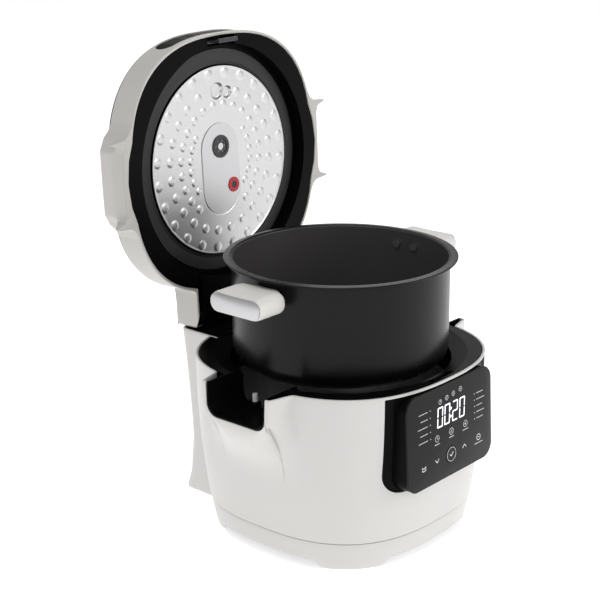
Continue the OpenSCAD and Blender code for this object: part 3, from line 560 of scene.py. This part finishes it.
def makeColumn(c):
    heights = [0.4, 3, 8, 14, 20, 28, 36, 46, 56, 70, 90, 110, 130, 150, 170, 185, 194, 197.6]
    rings = [columnRing(z, 0.8 if z == 0.4 else 0) for z in heights]
    rings += [columnRing(198.7, 0.5), columnRing(c["top"], 1.3), columnRing(c["top"], c["wall"] - 0.6)]
    rings += [columnRing(z, c["wall"]) for z in (198.2, 180, 100, 4)]
    piece = makeRings("rearColumn", rings)
    flip = lambda p: onBase(np.array(p)[..., [0, 2, 1]])
    cup = rounded([(-c["cupHalf"], c["cupLow"], 2), (c["cupHalf"], c["cupLow"], 2),
                   (c["cupHalf"], c["cupTop"], 2), (-c["cupHalf"], c["cupTop"], 2)], 4, closed=True)
    piece = cutWith(piece, makeSlab("hole", cup, 150, 200, 0.4, flip))
    inlet = rounded([(-18.3, 38.7, 3), (18.3, 38.7, 3), (18.3, 69.3, 3), (-18.3, 69.3, 3)], 4, closed=True)
    piece = cutWith(piece, makeSlab("hole", inlet, 160, 200, 0.4, flip))
    return autoSmooth(piece, 40)


finishPiece(makeColumn(column), whitePlastic, "base", "white_plastic", "rear_housing")
print("body made")


panel = {"width": 150, "height": 104.5, "corner": 16, "thick": 2.4, "middle": 142.75, "front": 150.2,
         "lean": math.radians(2.6), "keyDown": -28.3, "keyRadius": 9}


def onPanel(points):
    p = np.array(points, float)
    x, up, out = p[..., 0], p[..., 1], p[..., 2]
    c, s = math.cos(panel["lean"]), math.sin(panel["lean"])
    q = np.stack([x, -panel["front"] + up * s - out * c, panel["middle"] + up * c + out * s], -1)
    return onBase(q)


def makeGlass(p):
    outline = roundRect(p["width"], p["height"], p["corner"], 10)
    piece = makeSlab("panelGlass", outline, -p["thick"], 0, 0.7, onPanel)
    angles = np.linspace(0, 2 * math.pi, 64, endpoint=False)
    r = p["keyRadius"] + 0.3
    ring = np.c_[r * np.cos(angles), p["keyDown"] + r * np.sin(angles)]
    return autoSmooth(cutWith(piece, makeSlab("hole", ring, -6, 4, 0.2, onPanel)), 30)


finishPiece(makeGlass(panel), glassDark, "base", "panel_glass", "panel_glass")


def makeKey(p):
    edge = p["keyRadius"]
    path = rounded([(0, 0.55), (edge - 1.6, 0.4), (edge, 0.6, 0.5), (edge, -5.2), (2, -5.2, 0.3),
                    (2, -9.4, 0.3), (0, -9.4)], 4)
    angles = np.linspace(0, 2 * math.pi, 96, endpoint=False)
    rings = [[(r * math.cos(a), p["keyDown"] + r * math.sin(a), z) for a in angles] for r, z in path]
    return autoSmooth(makeRings("okKey", rings, onPanel, closed=False), 40)


finishPiece(makeKey(panel), glassDark, "key", "panel_glass", "ok_button")


# Flat marks lie on the glass as one mesh: each is a closed outline of (x, up).
def makeMarks(name, outlines, rise=0.12, place=onPanel):
    points, faces = [], []
    for line in outlines:
        line = np.array(line, float)
        k, n = len(points), len(line)
        points += [(x, y, 0.02) for x, y in line] + [(x, y, rise) for x, y in line]
        faces.append(tuple(range(k + n, k + 2 * n)))
        faces.append(tuple(range(k, k + n))[::-1])
        faces += [(k + i, k + (i + 1) % n, k + n + (i + 1) % n, k + n + i) for i in range(n)]
    return makeMesh(name, points, faces, place, smooth=False)


def stroke(a, b, width):
    a, b = np.array(a, float), np.array(b, float)
    d = (b - a) / np.linalg.norm(b - a)
    n = np.array([-d[1], d[0]]) * width / 2
    return [a - n, b - n, b + n, a + n]


def ringMarks(x, y, r, width, start=0, end=360, steps=20):
    out = []
    near, far = r - width / 2, r + width / 2
    for k in range(steps):
        a, b = (math.radians(start + (end - start) * i / steps) for i in (k, k + 1))
        out.append([(x + q * math.cos(t), y + q * math.sin(t))
                    for q, t in ((near, a), (far, a), (far, b), (near, b))])
    return out


def discMark(x, y, r, steps=16):
    angles = [2 * math.pi * k / steps for k in range(steps)]
    return [(x + r * math.cos(a), y + r * math.sin(a)) for a in angles]


clock = {"digits": "0020", "left": (-23.0, -10.6, 3.4, 16.0), "low": 7.4, "high": 29.6, "wide": 9.6,
         "stroke": 1.45, "slant": 0.07}
segments = {"0": "abcdef", "2": "abged"}


def digitMarks(c):
    out = []
    mid = (c["low"] + c["high"]) / 2
    for digit, x in zip(c["digits"], c["left"]):
        w, t, g = c["wide"], c["stroke"], 0.35
        lines = {"a": ((g + t / 2, c["high"] - t / 2), (w - g - t / 2, c["high"] - t / 2)),
                 "g": ((g + t / 2, mid), (w - g - t / 2, mid)),
                 "d": ((g + t / 2, c["low"] + t / 2), (w - g - t / 2, c["low"] + t / 2)),
                 "f": ((t / 2, mid + g + t / 2), (t / 2, c["high"] - t / 2 - g)),
                 "b": ((w - t / 2, mid + g + t / 2), (w - t / 2, c["high"] - t / 2 - g)),
                 "e": ((t / 2, c["low"] + t / 2 + g), (t / 2, mid - g - t / 2)),
                 "c": ((w - t / 2, c["low"] + t / 2 + g), (w - t / 2, mid - g - t / 2))}
        for name in segments[digit]:
            a, b = (np.array(q, float) for q in lines[name])
            d = (b - a) / np.linalg.norm(b - a)
            n = np.array([-d[1], d[0]]) * t / 2
            tip = d * t / 2
            shape = [a - n, b - n, b + tip, b + n, a + n, a - tip]
            out.append([(x + q[0] + (q[1] - mid) * c["slant"], q[1]) for q in shape])
    for up in (mid - 4.4, mid + 4.4):
        out.append([(0.6 + q[0] + (q[1] - mid) * c["slant"], q[1]) for q in discMark(0, up, 1.5)])
    return out


finishPiece(makeMarks("clockDigits", digitMarks(clock)), whitePrint, "base", "panel_glass")


def iconMarks():
    out = []
    for x, y in ((-17.6, 35.2), (-6.1, 36.6), (5.6, 38.0), (18.3, 39.4)):   # small round signs over the clock
        out += ringMarks(x, y, 2.5, 0.36)
    out += [stroke((-17.6, 35.2), (-17.6, 36.9), 0.5), stroke((-17.6, 35.2), (-16.5, 35.2), 0.5)]
    out += [stroke((-7.2, 35.6), (-5.0, 37.6), 0.5), stroke((5.6, 36.7), (5.6, 39.3), 0.5)]
    out += [stroke((17.2, 39.4), (19.4, 39.4), 0.5)]
    for x, y in ((-24, -3.6), (1, -2.8), (26.5, -2.2)):                      # three dials under the clock
        out += ringMarks(x, y, 3.5, 0.38)
    out += [stroke((-24, -3.6), (-24, -1.2), 0.55), stroke((-24, -3.6), (-22.4, -4.4), 0.55)]
    out += [stroke((-0.4, -4.4), (2.4, -1.2), 0.55), stroke((25, -2.2), (28, -2.2), 0.55),
            stroke((26.5, -3.7), (26.5, -0.7), 0.55)]
    out += [stroke((-50.6, -32), (-44.8, -32), 0.6), stroke((-50.6, -32), (-50.6, -27.6), 0.6),
            stroke((-44.8, -32), (-44.8, -27.6), 0.6), stroke((-50.6, -27.6), (-47.7, -29.8), 0.6),
            stroke((-44.8, -27.6), (-47.7, -29.8), 0.6)]
    out += [stroke((-28, -26.6), (-24.8, -30.2), 0.7), stroke((-24.8, -30.2), (-21.6, -26.6), 0.7)]
    out += [stroke((21, -28.4), (24.2, -24.8), 0.7), stroke((24.2, -24.8), (27.4, -28.4), 0.7)]
    out += ringMarks(50.4, -25.0, 3.3, 0.6) + [stroke((49.2, -25.0), (51.8, -25.0), 0.6)]
    return out


finishPiece(makeMarks("panelSigns", iconMarks()), signPrint, "base", "panel_glass")

# Rows beside the clock: a short bar for each programme and a dot that marks it.
rowBars = {"leftWide": (15, 12, 17, 13, 16), "rightWide": (12, 15, 11, 14, 12)}


def barMarks(r):
    out = []
    for k in range(5):
        y = 30.7 - k * 7.8
        out.append(stroke((-40 - r["leftWide"][k], y), (-40, y), 0.85))
        out.append(discMark(-35.5, y, 0.7))
        y = 26 - k * 7.1
        out.append(stroke((47, y), (47 + r["rightWide"][k], y), 0.85))
        out.append(discMark(43.5, y, 0.7))
    for x, y, w in ((-24, -9.8, 9), (1, -9.0, 8), (26.5, -8.6, 10), (50.4, -31.4, 15)):
        out.append(stroke((x - w / 2, y), (x + w / 2, y), 1.0))
    return out


finishPiece(makeMarks("panelBars", barMarks(rowBars)), greyPrint, "base", "panel_glass")


def keyMarks(p):
    y = p["keyDown"]
    return ringMarks(0, y, p["keyRadius"] - 1.4, 0.35, steps=40) + [
        stroke((-2.6, y + 0.2), (-0.6, y - 1.9), 0.9), stroke((-0.6, y - 1.9), (3.0, y + 2.2), 0.9)]


keyPlace = lambda p: onPanel(np.array(p, float) + [0, 0, 0.62])
finishPiece(makeMarks("keySign", keyMarks(panel), place=keyPlace), signPrint, "key", "panel_glass")
print("panel made")


lid = {"half": 148, "square": 2.6, "wall": 3, "rim": 200, "band": 235, "points": 1100,
       "domeX": 138, "domeY": 136, "domeSquare": 2.5, "lobeSwell": 3.2, "bayDepth": 3.0,
       "lobe": 158.5, "tip": 171.5, "neck": 62, "neckBack": 184.2, "heel": 14.0,
       "barrelHalf": 47.5, "barrelTop": 227.1,
       "slotHalf": 77, "slotLow": 208, "slotHigh": 232, "slotCorner": 11.9}


# Radius of a star-shaped outline at each angle round the middle.
def radiusAt(outline, angles):
    at = np.arctan2(outline[:, 1], outline[:, 0]) % (2 * math.pi)
    order = np.argsort(at)
    return np.interp(angles, at[order], np.hypot(outline[order, 0], outline[order, 1]), period=2 * math.pi)


def mirroredHalf(half):
    return half + [(-p[0], *p[1:]) for p in half[1:-1]][::-1]


# Angles round the lid, closer together at the four ears.
def spreadAngles(count, ears):
    fine = np.linspace(0, 2 * math.pi, 7201)
    near = sum(np.exp(-((fine - math.radians(a)) / 0.045) ** 2) for a in ears)
    total = np.concatenate([[0], np.cumsum(1 + 2.5 * (near[1:] + near[:-1]) / 2)])
    return np.interp(np.linspace(0, total[-1], count, endpoint=False), total, fine)


lidAngles = spreadAngles(lid["points"], (15.03, 164.97, 195.03, 344.97))


# The lid's outer side. At the rim each handle's bay ends in thin horns; higher up it is a smooth lobe.
def lidOutline(inset=0.0, horned=True):
    a, b, n = lid["half"] - inset, lid["half"] - 3.5 - inset, lid["neck"] - inset
    plan = superPlan(a, b, lid["square"], np.linspace(0, 2 * math.pi, 720, endpoint=False))
    tip, lobe = lid["tip"] - inset, lid["lobe"] - inset
    if horned:
        ear = [(a - 1.5, -52.5, 6), (a + 4.5, -48, 3), (tip, -46.4, 0.8), (tip, -44.6, 0.8),
               (lobe + 1.5, -41, 3), (lobe - 1.5, -33, 8), (lobe - 1.4, 0, 30)]
    else:
        ear = [(a - 2, -54, 8), (a + 5, -48, 10), (lobe, -36, 22), (lobe + 0.3, 0, 40)]
    ear += [(x, -y, r) for x, y, r in reversed(ear[:-1])]
    joinY = float(b * (1 - (n / a) ** lid["square"]) ** (1 / lid["square"]))
    right = [tuple(p) for p in plan if p[0] > 0 and -b * 0.999 < p[1] < -61]
    back = [tuple(p) for p in plan if p[0] > n + 6 and p[1] > 61]
    half = [(0.0, -b)] + right + ear + back
    half += [(n, joinY + 1.5, 6), (n, lid["neckBack"] - inset, 5), (0.0, lid["neckBack"] - inset)]
    line = rounded(mirroredHalf(half), 5, closed=True)
    reach = radiusAt(resample(line, 4000), lidAngles)
    return np.stack([np.cos(lidAngles), np.sin(lidAngles)], 1) * reach[:, None]


# The inner side of the lid's wall: a bulge beside each handle and the hinge's neck.
def lidInside(inset):
    a, b, n = lid["half"] - inset, lid["half"] - 3.5 - inset, lid["neck"] - inset
    side = lid["half"] + 7 - inset
    plan = superPlan(a, b, lid["square"], np.linspace(0, 2 * math.pi, 720, endpoint=False))
    r = radiusAt(plan, lidAngles)
    bulge = rounded([(a - 20, -48), (side - 10, -45, 4), (side - 3, -25, 20), (side, 0, 30),
                     (side - 3, 25, 20), (side - 10, 45, 4), (a - 20, 48), (-40, 0)], 5, closed=True)
    c, t = np.cos(lidAngles), np.sin(lidAngles)
    reach = radiusAt(resample(bulge, 2000), lidAngles)
    flip = radiusAt(resample(bulge * [-1, 1], 2000), lidAngles)
    r = np.maximum(r, np.where(c > 0.5, reach, np.where(c < -0.5, flip, 0)))
    with np.errstate(divide="ignore"):
        neck = np.minimum(n / np.maximum(np.abs(c), 1e-9), (lid["neckBack"] - inset) / np.maximum(t, 1e-9))
    r = np.where(t > 0.5, np.maximum(r, neck), r)
    return np.stack([c, t], 1) * r[:, None]


def lidBottom(ring):
    x, y = ring[:, 0], ring[:, 1]
    low = np.full(len(ring), float(lid["rim"]))
    past = y > hingeY
    heel = np.sqrt(np.maximum(lid["heel"] ** 2 - (y[past] - hingeY) ** 2, 0))
    low[past] = np.maximum(low[past], hingeZ - heel)
    low[(y > hingeY + 8) & (np.abs(x) < lid["barrelHalf"])] = lid["barrelTop"]
    return low


def makeLidShell(d):
    low = lidBottom(lidOutline())
    rows = [(1.0, 0.0), (0.3, 0.012), (0.0, 0.04), (0, 0.12), (0, 0.24), (0, 0.36), (0, 0.48), (0, 0.6),
            (0, 0.72), (0, 0.84), (0.0, 0.93), (0.3, 0.975), (1.2, 1.0), (2.2, 1.0), (d["wall"], 0.98),
            (d["wall"], 0.5), (d["wall"], 0.03), (2.3, 0.0)]
    rings = []
    for inset, t in rows:
        z = low + (d["band"] - low) * t
        wide = lidOutline(inset) if inset < 2 else lidInside(inset)
        if inset < 2:
            lobed = smooth01((z - d["rim"] - 3) / 15)[:, None]
            wide = wide * (1 - lobed) + lidOutline(inset, False) * lobed
            bay = smooth01((44 - np.abs(wide[:, 1])) / 10) * smooth01((np.abs(wide[:, 0]) - 146) / 6)
            swell = d["lobeSwell"] * smooth01(t / 0.4) * (1 - 0.7 * smooth01((t - 0.5) / 0.5))
            swell -= d["bayDepth"] * math.sin(math.pi * min(1, t / 0.36))
            wide[:, 0] += np.sign(wide[:, 0]) * bay * swell
        rings.append(np.c_[wide, z])
    piece = makeRings("lidShell", rings, onLid)
    half, corner = d["slotHalf"], d["slotCorner"]
    slot = rounded([(-half, d["slotLow"], corner), (half, d["slotLow"], corner),
                    (half, d["slotHigh"], corner), (-half, d["slotHigh"], corner)], 8, closed=True)
    cutter = makeSlab("hole", slot, 100, 190, 0.5, lambda p: onLid(np.array(p)[..., [0, 2, 1]] * [1, -1, 1]))
    return autoSmooth(cutWith(piece, cutter), 40)


# The lid's shell takes the darker copy of the white plastic, which is painted shade.
finishPiece(makeLidShell(lid), lidWhitePaintedShade, "lid", "white_plastic", "lid_shell")


def makeLidCover(d):
    n = d["domeSquare"]
    scale = (np.abs(np.cos(lidAngles)) ** n + np.abs(np.sin(lidAngles)) ** n) ** (-1 / n)
    dome = np.stack([d["domeX"] * np.cos(lidAngles), d["domeY"] * np.sin(lidAngles)], 1) * scale[:, None]
    z0 = d["band"]
    rows = [(lidInside(3.3), -1.8), (lidInside(3.3), 0.0)]
    edge = ((1.0, 0.1), (1.0, 0.9), (2.5, 3.0), (5.5, 6.5), (11.0, 9.5))
    rows += [(lidInside(inset), rise) for inset, rise in edge]
    shape = [(0.86, 11.2), (0.78, 12.3), (0.66, 13.2), (0.5, 13.7), (0.3, 14.0), (0.12, 14.0), (0.0, 14.0)]
    rows += [(dome * k, h) for k, h in shape]
    rows += [(dome * k * 0.985, h - 2.2) for k, h in reversed(shape)]
    rows += [(lidInside(13.0), 6.0), (lidInside(6.0), -1.8)]
    rings = []
    for flat, rise in rows:
        low = 1 - 0.9 * smooth01((flat[:, 1] - 138) / 20)
        rings.append(np.c_[flat, z0 + (rise * low if rise > 0 else np.full(len(flat), rise))])
    piece = makeRings("lidCover", rings, onLid)
    t = np.linspace(0, 2 * math.pi, 96, endpoint=False)
    hole = makeSlab("hole", np.c_[17 * np.cos(t), -16 + 17 * np.sin(t)], z0 - 10, z0 + 40, 0.4, onLid)
    return autoSmooth(cutWith(piece, hole), 40)


finishPiece(makeLidCover(lid), blackGloss, "lid", "black_plastic", "lid_cover")

plate = {"radius": 106.9, "level": 210.9, "thick": 1.1, "rows": (48, 63, 80, 99.5), "count": 24,
         "bumpHeight": 0.72, "bumpSmall": 4.3, "bumpLarge": 5.9,
         "grips": ((0, -79, 9), (16, -76, 6.5)), "gripDepth": 3.0,
         "ovalMiddle": (-1, 9.6), "ovalHalf": 29.1, "ovalStraight": 23.1, "ovalRidge": 0.5,
         "edgeRadius": 104.4, "edgeDrop": 0.9}


# Dimples in rings, finger grips, the ridge of the oval panel and the edge's fall.
def plateHeight(x, y):
    ovalX, ovalY = plate["ovalMiddle"]
    h = np.zeros_like(x)
    r = np.hypot(x, y)
    for k, ring in enumerate(plate["rows"]):
        size = plate["bumpSmall"] + (plate["bumpLarge"] - plate["bumpSmall"]) * k / 3
        for i in range(plate["count"]):
            a = 2 * math.pi * (i + 0.5) / plate["count"]
            cx, cy = ring * math.cos(a), ring * math.sin(a)
            nearGrip = any(math.hypot(cx - g[0], cy - g[1]) < g[2] + 8 for g in plate["grips"])
            if abs(cx - ovalX) < 36 and abs(cy - ovalY) < 58 or nearGrip:
                continue
            q = np.clip(1 - ((x - cx) ** 2 + (y - cy) ** 2) / size ** 2, 0, 1)
            h -= plate["bumpHeight"] * q * (2 - q) * 0.9
    for gx, gy, gr in plate["grips"]:
        dip = smooth01((gr - np.hypot(x - gx, y - gy)) / 1.8 + 0.4)
        h = np.where(dip > 0, plate["gripDepth"] * dip, h)
    past = np.maximum(0, np.abs(y - ovalY) - plate["ovalStraight"])
    edge = np.hypot(x - ovalX, past) - plate["ovalHalf"]
    h += plate["ovalRidge"] * np.exp(-(edge / 0.7) ** 2)
    h -= plate["edgeDrop"] * smooth01((r - plate["edgeRadius"]) / 2.4)
    return h


def makePlate(p):
    turns, steps = 540, 150
    radii = np.linspace(0, 1, steps) * p["radius"]
    t = np.linspace(0, 2 * math.pi, turns, endpoint=False)
    rings = []
    for r in radii:
        x, y = r * np.cos(t), r * np.sin(t)
        rings.append(np.stack([x, y, p["level"] + plateHeight(x, y)], 1))
    for r in radii[::-3]:
        x, y = r * np.cos(t), r * np.sin(t)
        raised = np.maximum(plateHeight(x, y), 0)
        rings.append(np.stack([x, y, p["level"] + raised + p["thick"]], 1))
    return makeRings("innerPlate", rings, onLid, closed=False)


finishPiece(makePlate(plate), plateMetal, "lid", "satin_steel", "inner_plate")
print("lid made")


camera = {"azimuth": -50.396, "elevation": 17.799, "distance": 1649.7, "height": 254.2,
          "lens": 90.72, "aside": 1.536}


def makeCamera(c):
    a, e = math.radians(c["azimuth"]), math.radians(c["elevation"])
    back = Vector((math.sin(a) * math.cos(e), -math.cos(a) * math.cos(e), math.sin(e)))
    data = bpy.data.cameras.new("camera")
    data.lens, data.sensor_width = c["lens"], 36
    data.clip_start, data.clip_end = 0.05, 60
    eye = bpy.data.objects.new("camera", data)
    eye.location = Vector((0, potY, c["height"])) / 1000 + back * c["distance"] / 1000
    turn = (-back).to_track_quat("-Z", "Y").to_matrix().to_4x4()
    swing = Matrix.Rotation(math.radians(c["aside"]), 4, Vector((0, 1, 0)))
    eye.matrix_world = Matrix.Translation(eye.location) @ turn @ swing
    bpy.context.scene.collection.objects.link(eye)
    bpy.context.scene.camera = eye


makeCamera(camera)

floor = {"size": 30.0, "colour": (0.95, 0.95, 0.95), "glow": 0.55}


def makeFloor(f):
    h = f["size"] / 2
    mesh = bpy.data.meshes.new("floor")
    mesh.from_pydata([(-h, -h, 0), (h, -h, 0), (h, h, 0), (-h, h, 0)], [], [(0, 1, 2, 3)])
    piece = bpy.data.objects.new("floor", mesh)
    bpy.context.scene.collection.objects.link(piece)
    piece.location.z = -0.0002
    shaded = [c * 0.99 for c in f["colour"]]
    paint = madePlastic("floorPaint", f["colour"], shaded, 0.9, 0.0, 50, specular=0.0)
    shader = paint.node_tree.nodes["Principled BSDF"]
    shader.inputs["Emission Color"].default_value = (1, 1, 1, 1)
    shader.inputs["Emission Strength"].default_value = f["glow"]
    mesh.materials.append(paint)


makeFloor(floor)

lights = {
    "world": (1.0, 1.0, 1.0, 0.44),
    "softbox": [
        {"name": "keyLeft", "at": (-2.4, -1.2, 2.6), "size": (1.8, 2.4), "power": 17},
        {"name": "frontRight", "at": (1.6, -2.8, 1.5), "size": (1.2, 1.8), "power": 29},
        {"name": "top", "at": (0.0, 0.3, 3.2), "size": (2.4, 2.4), "power": 20},
        {"name": "backRight", "at": (2.4, 1.8, 2.2), "size": (1.4, 1.4), "power": 11}]}


def makeLights(l):
    world = bpy.data.worlds.new("studio")
    world.use_nodes = True
    bpy.context.scene.world = world
    tree = world.node_tree
    shade = tree.nodes["Background"]
    shade.inputs["Color"].default_value = (*l["world"][:3], 1)
    seen = tree.nodes.new("ShaderNodeLightPath").outputs["Is Camera Ray"]
    level = tree.nodes.new("ShaderNodeMapRange")
    level.inputs["To Min"].default_value, level.inputs["To Max"].default_value = l["world"][3], 1.0
    tree.links.new(seen, level.inputs["Value"])
    tree.links.new(level.outputs["Result"], shade.inputs["Strength"])
    for box in l["softbox"]:
        data = bpy.data.lights.new(box["name"], "AREA")
        data.shape = "RECTANGLE"
        data.size, data.size_y = box["size"]
        data.energy = box["power"]
        lamp = bpy.data.objects.new(box["name"], data)
        lamp.location = box["at"]
        aim = Vector((0, 0, 0.22)) - lamp.location
        lamp.rotation_mode = "QUATERNION"
        lamp.rotation_quaternion = aim.to_track_quat("-Z", "Y")
        bpy.context.scene.collection.objects.link(lamp)


makeLights(lights)
bpy.context.scene.view_settings.view_transform = "Standard"
print("camera, floor and lights ready")
